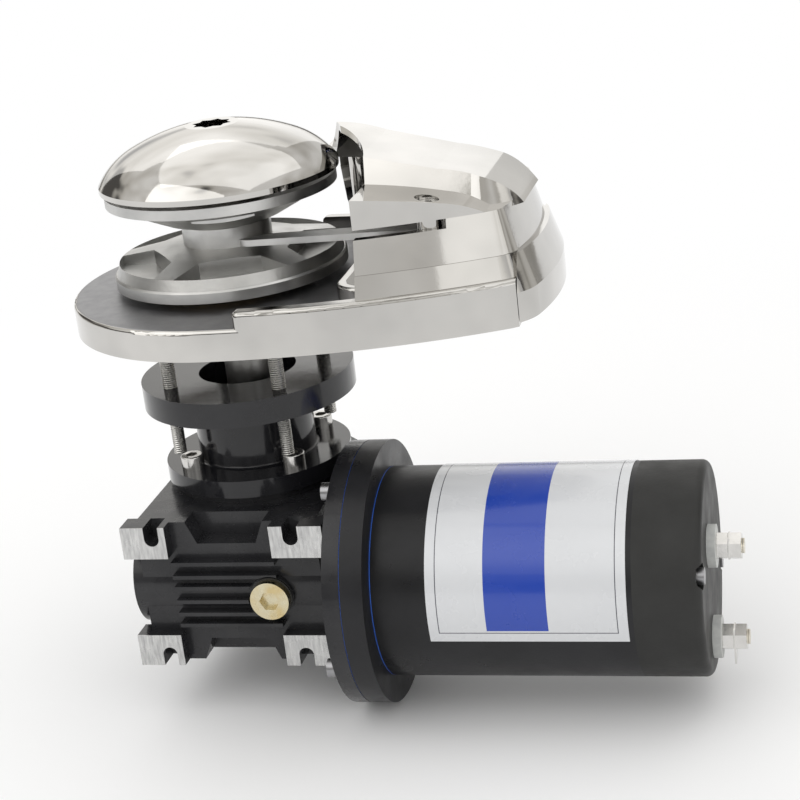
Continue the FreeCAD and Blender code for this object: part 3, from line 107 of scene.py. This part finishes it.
class Surface:
    """One procedural material: a Principled shader and the nodes that feed it."""

    def __init__(self, name, color, rough, metallic=0.0, coat=0.0, specular=0.5):
        self.material = bpy.data.materials.new(name)
        self.material.use_nodes = True
        self.tree = self.material.node_tree
        self.shader = self.tree.nodes["Principled BSDF"]
        self.color = color
        self.rough = rough
        values = {
            "Base Color": (*color, 1.0),
            "Roughness": rough,
            "Metallic": metallic,
            "Coat Weight": coat,
            "Coat Roughness": COAT_ROUGHNESS,
            "Specular IOR Level": specular,
        }
        for key, value in values.items():
            self.shader.inputs[key].default_value = value
        self.coords = self.add("ShaderNodeTexCoord")
        self.last_bump = None

    def add(self, kind, values=None, **settings):
        return new_node(self.tree, kind, values, **settings)

    def join(self, source, target):
        self.tree.links.new(source, target)

    def feed(self, source, name):
        """Drive one input of the Principled shader."""
        self.join(source, self.shader.inputs[name])

    def source_of(self, name):
        """What drives one input of the Principled shader at present."""
        return self.shader.inputs[name].links[0].from_socket

    def noise(self, scale, detail=4.0, stretch=(1, 1, 1)):
        """Noise in the object's own metres, stretched along its axes."""
        mapping = self.add("ShaderNodeMapping", {"Scale": stretch})
        self.join(self.coords.outputs["Object"], mapping.inputs["Vector"])
        values = {"Scale": scale, "Detail": detail, "Roughness": NOISE_ROUGHNESS}
        node = self.add("ShaderNodeTexNoise", values)
        self.join(mapping.outputs["Vector"], node.inputs["Vector"])
        return node.outputs["Fac"]

    def remap(self, value, low, high, start=0.3, end=0.7):
        """Stretch what lies between start and end to run from low to high."""
        values = {"From Min": start, "From Max": end, "To Min": low, "To Max": high}
        node = self.add("ShaderNodeMapRange", values)
        self.join(value, node.inputs["Value"])
        return node.outputs["Result"]

    def mix(self, factor, first, second, kind="RGBA"):
        """Go from the first value to the second as the factor goes from 0 to 1."""
        node = self.add("ShaderNodeMix", data_type=kind)
        for slot, value in (("A", first), ("B", second)):
            if isinstance(value, tuple):
                node.inputs[slot].default_value = (*value, 1.0)
            else:
                self.join(value, node.inputs[slot])
        self.join(factor, node.inputs["Factor"])
        return node.outputs["Result"]

    def vary_roughness(self, value, spread):
        low = max(self.rough - spread, SMOOTHEST)
        self.feed(self.remap(value, low, self.rough + spread), "Roughness")

    def mottle(self, value, other):
        """Let the base colour drift towards another where the value is high."""
        factor = self.remap(value, 0.0, 1.0, start=0.35, end=0.65)
        self.feed(self.mix(factor, self.color, other), "Base Color")

    def paint(self, mask, color):
        """Lay a colour over what is there, wherever the mask is 1."""
        self.feed(self.mix(mask, self.source_of("Base Color"), color), "Base Color")

    def bump(self, value, height, strength):
        node = self.add("ShaderNodeBump", {"Distance": height, "Strength": strength})
        self.join(value, node.inputs["Height"])
        if self.last_bump is not None:
            self.join(self.last_bump, node.inputs["Normal"])
        self.last_bump = node.outputs["Normal"]
        self.feed(self.last_bump, "Normal")

    def axis_value(self, axis, vector=None):
        """One coordinate of a vector, by default of the place on the part in metres."""
        split = self.add("ShaderNodeSeparateXYZ")
        self.join(vector or self.coords.outputs["Object"], split.inputs["Vector"])
        return split.outputs[axis]

    def compute(self, operation, first, second=None):
        node = self.add("ShaderNodeMath", operation=operation)
        for slot, value in enumerate((first, second)):
            if value is None:
                continue
            if isinstance(value, float):
                node.inputs[slot].default_value = value
            else:
                self.join(value, node.inputs[slot])
        return node.outputs["Value"]

    def both(self, first, second):
        """1 where two masks are both 1."""
        return self.compute("MULTIPLY", first, second)

    def between(self, value, low, high):
        """1 where a value lies between two limits, otherwise 0."""
        above = self.compute("GREATER_THAN", value, low)
        return self.both(above, self.compute("LESS_THAN", value, high))

    def distance_from_upright(self, centre):
        """Distance from an upright line through a point, in metres."""
        place = self.add("ShaderNodeVectorMath", operation="SUBTRACT")
        place.inputs[1].default_value = centre
        self.join(self.coords.outputs["Object"], place.inputs[0])
        flat = self.add("ShaderNodeVectorMath", operation="MULTIPLY")
        flat.inputs[1].default_value = (1.0, 1.0, 0.0)
        self.join(place.outputs["Vector"], flat.inputs[0])
        length = self.add("ShaderNodeVectorMath", operation="LENGTH")
        self.join(flat.outputs["Vector"], length.inputs[0])
        return length.outputs["Value"]


# ---------------------------------------------------------------------------
# Steel
# ---------------------------------------------------------------------------
STEEL = (0.62, 0.605, 0.58)
# A darker steel for large soft patches: painted reflections of a room on the polished steel.
STEEL_PAINTED_REFLECTION = (0.50, 0.49, 0.47)

# The base plate's flat top, and how far from it a point still counts as on it.
PLATE_TOP = 0.017
PLATE_TOP_MARGIN = 0.0015
FACES_UP = 0.9
# Dark colour for that top: partly its satin finish, partly painted shade under the chainwheel.
PLATE_TOP_SATIN_AND_SHADE = (0.30, 0.30, 0.31)

THREAD_PITCH = 0.00125
THREAD_DEPTH = 0.0004
THREAD_RIDGES = 2 * math.pi / THREAD_PITCH


def polished_steel(name="stainless_polished"):
    surface = Surface(name, STEEL, rough=0.07, metallic=1.0)
    surface.vary_roughness(surface.noise(26.0), spread=0.035)
    # Large soft patches that drift to a darker steel: painted reflections of a room, not a
    # change in the metal.
    surface.mottle(surface.noise(14.0, detail=3.0), STEEL_PAINTED_REFLECTION)
    surface.bump(surface.noise(11.0, detail=2.0), height=0.0011, strength=0.16)
    surface.bump(surface.noise(70.0, detail=3.0), height=0.00012, strength=0.16)
    surface.bump(surface.noise(700.0, detail=2.0), height=0.00002, strength=0.15)
    return surface


def base_plate_steel():
    """Polished all over, with a satin top where the chainwheel turns, painted dark partly as
    its own finish and partly as painted shade under the chainwheel.
    """
    surface = polished_steel("base_plate_steel")
    normal = surface.add("ShaderNodeNewGeometry").outputs["Normal"]
    flat = surface.compute("GREATER_THAN", surface.axis_value("Z", normal), FACES_UP)
    low, high = PLATE_TOP - PLATE_TOP_MARGIN, PLATE_TOP + PLATE_TOP_MARGIN
    mask = surface.both(flat, surface.between(surface.axis_value("Z"), low, high))
    # Paint the flat top dark: partly its own satin finish, partly painted shade under the
    # chainwheel.
    surface.paint(mask, PLATE_TOP_SATIN_AND_SHADE)
    satin = surface.remap(surface.noise(160.0), 0.38, 0.52)
    rough = surface.mix(mask, surface.source_of("Roughness"), satin, kind="FLOAT")
    surface.feed(rough, "Roughness")
    return surface.material


def cast_steel():
    """The chainwheel: a blasted casting with a fine grain."""
    surface = Surface("stainless_satin", (0.62, 0.615, 0.60), rough=0.36, metallic=1.0)
    surface.vary_roughness(surface.noise(70.0), spread=0.08)
    surface.mottle(surface.noise(30.0), (0.50, 0.50, 0.49))
    surface.bump(surface.noise(380.0), height=0.00025, strength=0.35)
    surface.bump(surface.noise(60.0, detail=3.0), height=0.0004, strength=0.18)
    return surface.material


def machined_steel():
    """Turned steel, with tool marks that run round the spindle."""
    surface = Surface("steel_dark", (0.34, 0.34, 0.35), rough=0.34, metallic=1.0)
    surface.vary_roughness(surface.noise(90.0), spread=0.08)
    marks = surface.noise(1.0, detail=3.0, stretch=(40, 40, 2200))
    surface.bump(marks, height=0.00004, strength=0.3)
    return surface.material


def fastener_steel():
    surface = Surface("fastener", (0.72, 0.71, 0.69), rough=0.20, metallic=1.0)
    surface.vary_roughness(surface.noise(150.0), spread=0.08)
    surface.mottle(surface.noise(90.0), (0.62, 0.61, 0.59))
    surface.bump(surface.noise(700.0, detail=2.0), height=0.00003, strength=0.25)
    return surface.material


def threaded_steel(name, color, rough, axis):
    """Steel with a rolled thread, shown as fine ridges along one axis."""
    surface = Surface(name, color, rough, metallic=1.0)
    turns = surface.compute("MULTIPLY", surface.axis_value(axis), THREAD_RIDGES)
    surface.bump(surface.compute("SINE", turns), height=THREAD_DEPTH, strength=0.6)
    surface.vary_roughness(surface.noise(150.0), spread=0.08)
    return surface.material


def deck_stud_steel():
    return threaded_steel("thread_steel", (0.66, 0.65, 0.62), rough=0.26, axis="Z")


def terminal_stud_steel():
    return threaded_steel("terminal_thread", (0.70, 0.66, 0.57), rough=0.28, axis="X")


# ---------------------------------------------------------------------------
# Paint
# ---------------------------------------------------------------------------
# The bare foot pads are the lowest face of the housing along Y.
PAD_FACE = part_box("gearbox_housing")[0].y
PAD_MARGIN = 0.0005
PAINT_COAT = 0.25


def gloss_black():
    surface = Surface("black_gloss", (0.010, 0.010, 0.012), rough=0.14, coat=0.35, specular=0.3)
    surface.vary_roughness(surface.noise(50.0), spread=0.05)
    surface.bump(surface.noise(120.0, detail=3.0), height=0.00025, strength=0.25)
    surface.mottle(surface.noise(30.0), (0.017, 0.017, 0.019))
    return surface.material


def satin_black(name="black_satin"):
    surface = Surface(name, (0.013, 0.013, 0.015), rough=0.28, coat=0.2, specular=0.3)
    surface.vary_roughness(surface.noise(80.0), spread=0.08)
    surface.bump(surface.noise(260.0), height=0.0003, strength=0.35)
    surface.mottle(surface.noise(35.0), (0.024, 0.024, 0.026))
    return surface


def gearbox_casting():
    """Painted casting whose foot pads are machined back to bare alloy."""
    surface = satin_black("gearbox_casting")
    across = surface.axis_value("Y")
    mask = surface.between(across, PAD_FACE - PAD_MARGIN, PAD_FACE + PAD_MARGIN)
    scratches = surface.remap(surface.noise(1.0, detail=3.0, stretch=(900, 40, 120)), 0.0, 1.0)
    bare = surface.mix(scratches, (0.42, 0.42, 0.42), (0.66, 0.66, 0.65))
    surface.paint(mask, bare)
    surface.feed(mask, "Metallic")
    painted = surface.compute("SUBTRACT", 1.0, mask)
    surface.feed(surface.compute("MULTIPLY", painted, PAINT_COAT), "Coat Weight")
    return surface.material


def motor_black():
    surface = Surface("motor_black", (0.012, 0.012, 0.013), rough=0.34, specular=0.25)
    surface.vary_roughness(surface.noise(45.0), spread=0.08)
    surface.bump(surface.noise(420.0, detail=3.0), height=0.0002, strength=0.3)
    surface.mottle(surface.noise(22.0), (0.019, 0.019, 0.021))
    return surface.material


def end_cap_black():
    surface = Surface("end_cap_black", (0.022, 0.022, 0.021), rough=0.50, specular=0.25)
    surface.vary_roughness(surface.noise(60.0), spread=0.08)
    surface.bump(surface.noise(500.0, detail=3.0), height=0.00025, strength=0.35)
    surface.mottle(surface.noise(24.0), (0.030, 0.030, 0.029))
    return surface.material


# ---------------------------------------------------------------------------
# Other metals, plastic, rubber and sealant
# ---------------------------------------------------------------------------
def yellow_zinc():
    surface = Surface("zinc_yellow", (0.66, 0.60, 0.43), rough=0.26, metallic=1.0)
    surface.mottle(surface.noise(120.0), (0.62, 0.50, 0.27))
    surface.vary_roughness(surface.noise(200.0), spread=0.08)
    surface.bump(surface.noise(800.0, detail=2.0), height=0.00003, strength=0.3)
    return surface.material


def bronze():
    surface = Surface("bronze", (0.60, 0.42, 0.18), rough=0.30, metallic=1.0)
    surface.vary_roughness(surface.noise(90.0), spread=0.08)
    surface.bump(surface.noise(700.0, detail=2.0), height=0.00003, strength=0.3)
    return surface.material


def sealant():
    surface = Surface("blue_sealant", (0.03, 0.13, 0.62), rough=0.35)
    surface.bump(surface.noise(220.0, detail=3.0), height=0.0005, strength=0.5)
    surface.vary_roughness(surface.noise(120.0), spread=0.1)
    return surface.material


def black_rubber():
    surface = Surface("seal_rubber", (0.02, 0.02, 0.02), rough=0.55)
    surface.bump(surface.noise(500.0, detail=3.0), height=0.0001, strength=0.4)
    surface.vary_roughness(surface.noise(200.0), spread=0.08)
    return surface.material


def pale_nylon():
    surface = Surface("grey_plastic", (0.56, 0.57, 0.55), rough=0.42)
    surface.mottle(surface.noise(300.0), (0.48, 0.49, 0.48))
    surface.bump(surface.noise(600.0, detail=3.0), height=0.00008, strength=0.4)
    return surface.material


def plain(name, color, rough, grain, metallic=0.0):
    """A finish for the pieces inside, with a fine grain and slow changes of sheen."""
    surface = Surface(name, color, rough, metallic=metallic)
    surface.vary_roughness(surface.noise(grain / 6), spread=0.08)
    surface.bump(surface.noise(grain, detail=3.0), height=0.00006, strength=0.35)
    return surface.material


def magnet():
    return plain("magnet", (0.12, 0.12, 0.13), rough=0.5, grain=500.0)


def core_steel():
    return plain("core_steel", (0.35, 0.35, 0.36), rough=0.4, grain=700.0, metallic=1.0)


def copper():
    return plain("copper", (0.72, 0.36, 0.18), rough=0.3, grain=500.0, metallic=1.0)


def carbon():
    return plain("carbon", (0.05, 0.05, 0.05), rough=0.5, grain=600.0)


# ---------------------------------------------------------------------------
# Motor label
# ---------------------------------------------------------------------------
LABEL_LOW, LABEL_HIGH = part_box("motor_label")
MOTOR_LOW, MOTOR_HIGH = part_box("motor_tube")
MOTOR_AXIS_Y = (MOTOR_LOW.y + MOTOR_HIGH.y) / 2
BAND_START, BAND_END = LABEL_LOW.x + 0.0311, LABEL_LOW.x + 0.0640
BORDER = 0.0052
LINE = 0.0005
BAND_LIFT = 0.0015

FILM_WHITE = (0.62, 0.63, 0.645)
FILM_SHADE = (0.605, 0.615, 0.63)
BAND_BLUE = (0.012, 0.05, 0.36)
LINE_BLACK = (0.05, 0.05, 0.07)


def label_paper():
    """White film with a blue band and a thin dark line inside its edge."""
    surface = Surface("label_white", FILM_WHITE, rough=0.26, coat=0.4)
    surface.mottle(surface.noise(30.0), FILM_SHADE)
    along = surface.axis_value("X")
    height = surface.axis_value("Z")
    near = surface.compute("LESS_THAN", surface.axis_value("Y"), MOTOR_AXIS_Y)
    start, end = LABEL_LOW.x + BORDER, LABEL_HIGH.x - BORDER
    foot = LABEL_LOW.z + BORDER

    band = surface.between(along, BAND_START, BAND_END)
    above = surface.compute("GREATER_THAN", height, foot + BAND_LIFT)
    surface.paint(surface.both(band, above), BAND_BLUE)

    left = surface.between(along, start, start + LINE)
    right = surface.between(along, end - LINE, end)
    sides = surface.compute("MAXIMUM", left, right)
    sides = surface.both(sides, surface.compute("GREATER_THAN", height, foot))
    low = surface.between(height, foot, foot + LINE)
    low = surface.both(low, surface.between(along, start, end))
    line = surface.compute("MAXIMUM", sides, surface.both(low, near))
    surface.paint(line, LINE_BLACK)

    surface.bump(surface.noise(120.0, detail=3.0), height=0.0001, strength=0.2)
    surface.vary_roughness(surface.noise(60.0), spread=0.06)
    return surface.material


# ---------------------------------------------------------------------------
# Which finish each node takes: its material slot's, or one of its own
# ---------------------------------------------------------------------------
SLOT_MAKERS = {
    "stainless_polished": lambda: polished_steel().material,
    "stainless_satin": cast_steel,
    "steel_dark": machined_steel,
    "fastener": fastener_steel,
    "black_gloss": gloss_black,
    "black_satin": lambda: satin_black().material,
    "motor_black": motor_black,
    "zinc_yellow": yellow_zinc,
    "bronze": bronze,
    "blue_sealant": sealant,
    "seal_rubber": black_rubber,
    "grey_plastic": pale_nylon,
    "label_white": label_paper,
    "magnet": magnet,
    "core_steel": core_steel,
    "copper": copper,
    "carbon": carbon,
}

NODE_MAKERS = {
    "base_plate": base_plate_steel,
    "gearbox_housing": gearbox_casting,
    "motor_end_cap": end_cap_black,
    "deck_studs": deck_stud_steel,
    "terminal_studs": terminal_stud_steel,
}


def dress_nodes():
    made = {slot: maker() for slot, maker in SLOT_MAKERS.items()}
    for entry in frame["record"]["subparts"]:
        name = entry["node"]
        mesh = nodes[name].data
        own = NODE_MAKERS.get(name)
        mesh.materials.clear()
        mesh.materials.append(own() if own else made[entry["material_slot"]])
        for polygon in mesh.polygons:
            polygon.material_index = 0


# ---------------------------------------------------------------------------
# Floor, backdrop colour and lights
# ---------------------------------------------------------------------------
WHITE = (1.0, 1.0, 1.0, 1.0)

FLOOR_REACH = 8.0
FLOOR_GAP = 0.0005
FLOOR_FADE_CENTRE = (0.05, 0.0, 0.0)
FLOOR_FADE_START = 0.3
FLOOR_FADE_END = 0.9

AMBIENT_COLOR = (1.0, 0.995, 0.985, 1.0)
AMBIENT_STRENGTH = 0.78

# The room that the metal shows: patches wide and low, darker towards the floor.
ROOM_STRETCH = (1.0, 1.0, 2.2)
ROOM_PATCHES = 1.3
ROOM_DETAIL = 2.0
ROOM_LOW, ROOM_HIGH = 0.05, 0.75
ROOM_LIFT = 0.07
ROOM_DARK = (0.40, (0.10, 0.095, 0.09, 1.0))
ROOM_MIDDLE = (0.47, (0.58, 0.56, 0.52, 1.0))
ROOM_LIGHT = (0.62, (0.88, 0.87, 0.85, 1.0))

LAMPS_AIM = (0.05, 0.0, -0.05)
# Each lamp's name, place, width, height and power in watts
LAMPS = (
    ("key", (-0.7, -1.3, 1.3), 2.2, 1.8, 11.0),
    ("fill", (1.5, -0.9, 0.5), 1.8, 1.6, 5.0),
    ("top", (0.1, 0.3, 1.7), 2.4, 2.0, 8.0),
    ("back", (-0.6, 1.4, 0.8), 1.8, 1.4, 4.0),
)


def add_floor():
    """A pale floor that takes shadows near the part and is plain white further out."""
    mesh = bpy.data.meshes.new("floor")
    height = cad_box[0][2] - FLOOR_GAP
    corners = ((-1, -1), (1, -1), (1, 1), (-1, 1))
    places = [(x * FLOOR_REACH, y * FLOOR_REACH, height) for x, y in corners]
    mesh.from_pydata(places, [], [(0, 1, 2, 3)])
    floor = bpy.data.objects.new("floor", mesh)
    bpy.context.scene.collection.objects.link(floor)
    surface = Surface("floor", (0.90, 0.90, 0.90), rough=0.8)
    surface.bump(surface.noise(40.0), height=0.0002, strength=0.1)
    distance = surface.distance_from_upright(FLOOR_FADE_CENTRE)
    fade = surface.remap(distance, 0.0, 1.0, FLOOR_FADE_START, FLOOR_FADE_END)
    path = surface.add("ShaderNodeLightPath").outputs
    seen = surface.compute("MAXIMUM", path["Is Camera Ray"], path["Is Glossy Ray"])
    glow = surface.add("ShaderNodeEmission", {"Color": WHITE, "Strength": 1.0})
    fade = surface.compute("MULTIPLY", fade, seen)
    diffuse = surface.shader.outputs["BSDF"]
    shader = choose_shader(surface.tree, fade, diffuse, glow.outputs["Emission"])
    surface.join(shader, surface.tree.nodes["Material Output"].inputs["Surface"])
    mesh.materials.append(surface.material)


def room_color(tree):
    """Soft light and dark patches that grow lighter with height."""
    link = tree.links.new
    coords = new_node(tree, "ShaderNodeTexCoord")
    mapping = new_node(tree, "ShaderNodeMapping", {"Scale": ROOM_STRETCH})
    link(coords.outputs["Generated"], mapping.inputs["Vector"])
    values = {"Scale": ROOM_PATCHES, "Detail": ROOM_DETAIL}
    patches = new_node(tree, "ShaderNodeTexNoise", values)
    link(mapping.outputs["Vector"], patches.inputs["Vector"])
    split = new_node(tree, "ShaderNodeSeparateXYZ")
    link(coords.outputs["Generated"], split.inputs["Vector"])
    values = {
        "From Min": ROOM_LOW,
        "From Max": ROOM_HIGH,
        "To Min": -ROOM_LIFT,
        "To Max": ROOM_LIFT,
    }
    rise = new_node(tree, "ShaderNodeMapRange", values)
    link(split.outputs["Z"], rise.inputs["Value"])
    lifted = new_node(tree, "ShaderNodeMath", operation="ADD")
    link(patches.outputs["Fac"], lifted.inputs[0])
    link(rise.outputs["Result"], lifted.inputs[1])
    ramp = new_node(tree, "ShaderNodeValToRGB")
    stops = ramp.color_ramp.elements
    stops[0].position, stops[0].color = ROOM_DARK
    stops[1].position, stops[1].color = ROOM_LIGHT
    place, color = ROOM_MIDDLE
    stops.new(place).color = color
    link(lifted.outputs["Value"], ramp.inputs["Fac"])
    return ramp.outputs["Color"]


def white_world():
    """White to the camera and, to the metal, a pale room with soft darker patches."""
    world = bpy.data.worlds.new("world")
    bpy.context.scene.world = world
    world.use_nodes = True
    tree = world.node_tree
    ambient = tree.nodes["Background"]
    ambient.inputs["Color"].default_value = AMBIENT_COLOR
    ambient.inputs["Strength"].default_value = AMBIENT_STRENGTH
    white = new_node(tree, "ShaderNodeBackground", {"Color": WHITE, "Strength": 1.0})
    room = new_node(tree, "ShaderNodeBackground", {"Strength": 1.0})
    tree.links.new(room_color(tree), room.inputs["Color"])
    path = new_node(tree, "ShaderNodeLightPath").outputs
    background = "Background"
    shader = ambient.outputs[background]
    shader = choose_shader(tree, path["Is Glossy Ray"], shader, room.outputs[background])
    shader = choose_shader(tree, path["Is Camera Ray"], shader, white.outputs[background])
    tree.links.new(shader, tree.nodes["World Output"].inputs["Surface"])


def soft_box(name, place, width, height, power):
    """A rectangular lamp that faces the part."""
    lamp = bpy.data.lights.new(name, "AREA")
    lamp.shape = "RECTANGLE"
    lamp.size = width
    lamp.size_y = height
    lamp.energy = power
    holder = bpy.data.objects.new(name, lamp)
    bpy.context.scene.collection.objects.link(holder)
    holder.location = place
    toward = Vector(LAMPS_AIM) - Vector(place)
    holder.rotation_euler = toward.to_track_quat("-Z", "Y").to_euler()


def add_lights():
    for lamp in LAMPS:
        soft_box(*lamp)


add_camera()
dress_nodes()
add_floor()
white_world()
add_lights()
bpy.context.scene.view_settings.view_transform = "Standard"
